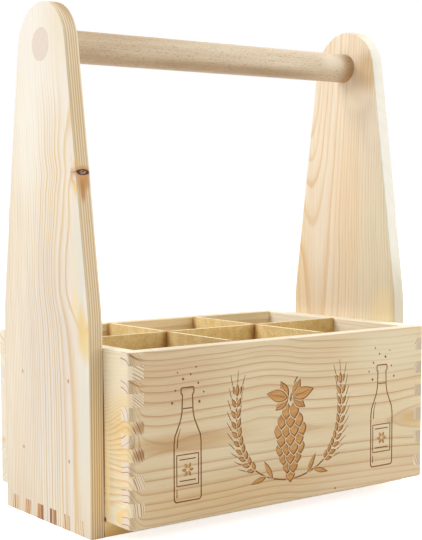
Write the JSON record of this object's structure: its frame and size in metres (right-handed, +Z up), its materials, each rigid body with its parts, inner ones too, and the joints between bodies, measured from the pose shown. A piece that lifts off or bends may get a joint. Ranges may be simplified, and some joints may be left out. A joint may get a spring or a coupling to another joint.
{
  "type": "wooden bottle caddy",
  "caption": "Finger-jointed pine bottle box on a base board between two tapered uprights with a round carrying bar and a lift-out divider grid.",
  "frame": {"origin": "middle of the base board's underside, where the caddy stands", "axes": "+Z up, X along the carrying bar and the box's length, -Y towards the engraved front board"},
  "size_m": [0.328, 0.2, 0.4],
  "materials": {
    "pine": "clear-planed and sanded, bare",
    "beech": "turned and sanded, bare",
    "hardboard": "smooth face, sawn edges",
    "floor_sheet": "smooth face",
    "brad_wire": "dull bright wire"
  },
  "bodies": {
    "carrier": {"front_panel": "pine", "back_panel": "pine", "left_end_panel": "pine", "right_end_panel": "pine", "box_floor": "floor_sheet", "base_board": "pine", "left_upright": "pine", "right_upright": "pine", "handle_bar": "beech", "left_upright_brads": "brad_wire", "right_upright_brads": "brad_wire"},
    "long_divider": {"long_divider": "hardboard"},
    "left_cross_divider": {"left_cross_divider": "hardboard"},
    "right_cross_divider": {"right_cross_divider": "hardboard"}
  },
  "joints": [
    {"name": "long_divider_lift", "type": "slide", "parent": "carrier", "child": "long_divider", "axis": [0, 0, 1], "range_m": [0, 0.125]},
    {"name": "left_cross_divider_lift", "type": "slide", "parent": "long_divider", "child": "left_cross_divider", "axis": [0, 0, 1], "range_m": [0, 0.065]},
    {"name": "right_cross_divider_lift", "type": "slide", "parent": "long_divider", "child": "right_cross_divider", "axis": [0, 0, 1], "range_m": [0, 0.065]}
  ]
}
